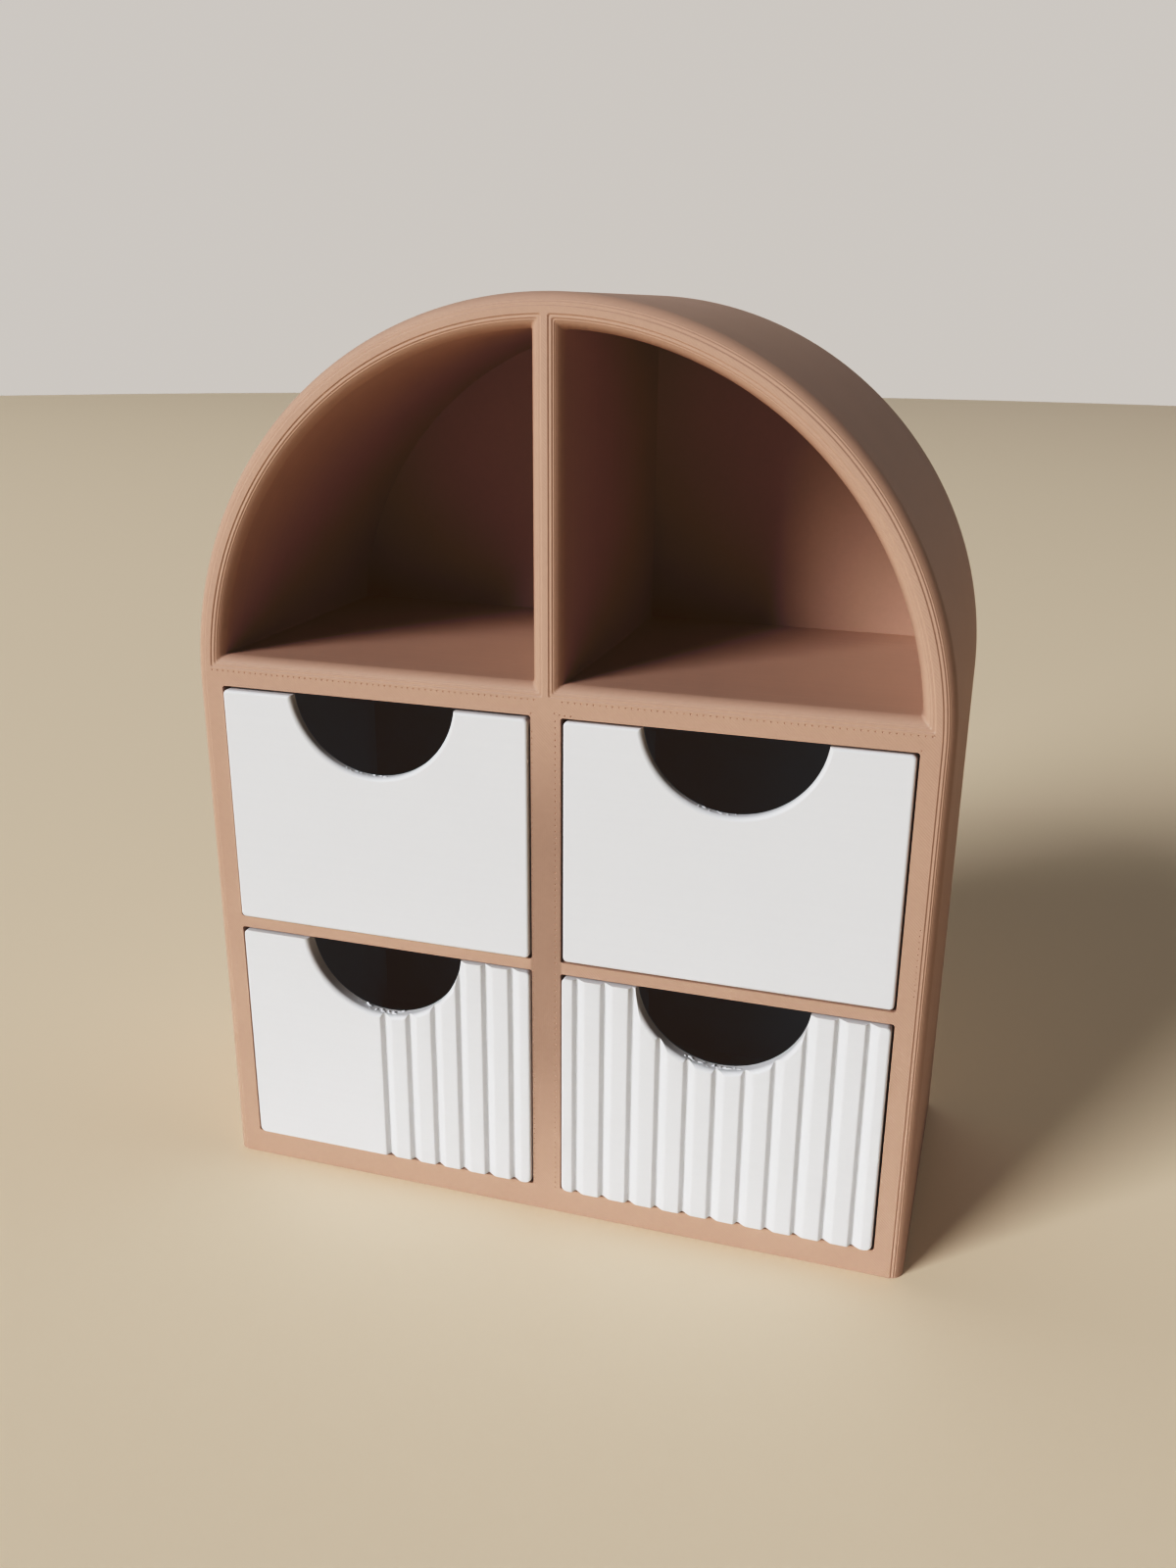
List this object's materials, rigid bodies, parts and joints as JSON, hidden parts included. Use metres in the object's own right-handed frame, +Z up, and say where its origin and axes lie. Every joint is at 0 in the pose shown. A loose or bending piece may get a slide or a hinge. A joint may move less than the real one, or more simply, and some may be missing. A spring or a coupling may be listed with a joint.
{
  "type": "jewellery drawer organizer",
  "caption": "Arch-topped desktop jewellery organizer with open quarter-round cubbies over small drawers, some with reeded fronts, pulled by half-round finger notches.",
  "frame": {"origin": "centre of the carcass's foot, on the surface it stands on", "axes": "+Z up, the drawer fronts face -Y, +X to the right seen from the front"},
  "size_m": [0.15, 0.0688, 0.1849],
  "materials": {
    "carcass_plastic": "matte clay-coloured printed plastic with fine layer lines",
    "drawer_plastic": "matte white printed plastic"
  },
  "bodies": {
    "carcass": {"carcass": "carcass_plastic"},
    "drawer_upper_left": {"drawer_upper_left": "drawer_plastic"},
    "drawer_upper_right": {"drawer_upper_right": "drawer_plastic"},
    "drawer_lower_left": {"drawer_lower_left": "drawer_plastic"},
    "drawer_lower_right": {"drawer_lower_right": "drawer_plastic"}
  },
  "joints": [
    {"name": "slide_upper_left", "type": "slide", "parent": "carcass", "child": "drawer_upper_left", "axis": [0, -1, 0], "range_m": [0, 0.052]},
    {"name": "slide_upper_right", "type": "slide", "parent": "carcass", "child": "drawer_upper_right", "axis": [0, -1, 0], "range_m": [0, 0.052]},
    {"name": "slide_lower_left", "type": "slide", "parent": "carcass", "child": "drawer_lower_left", "axis": [0, -1, 0], "range_m": [0, 0.052]},
    {"name": "slide_lower_right", "type": "slide", "parent": "carcass", "child": "drawer_lower_right", "axis": [0, -1, 0], "range_m": [0, 0.052]}
  ]
}
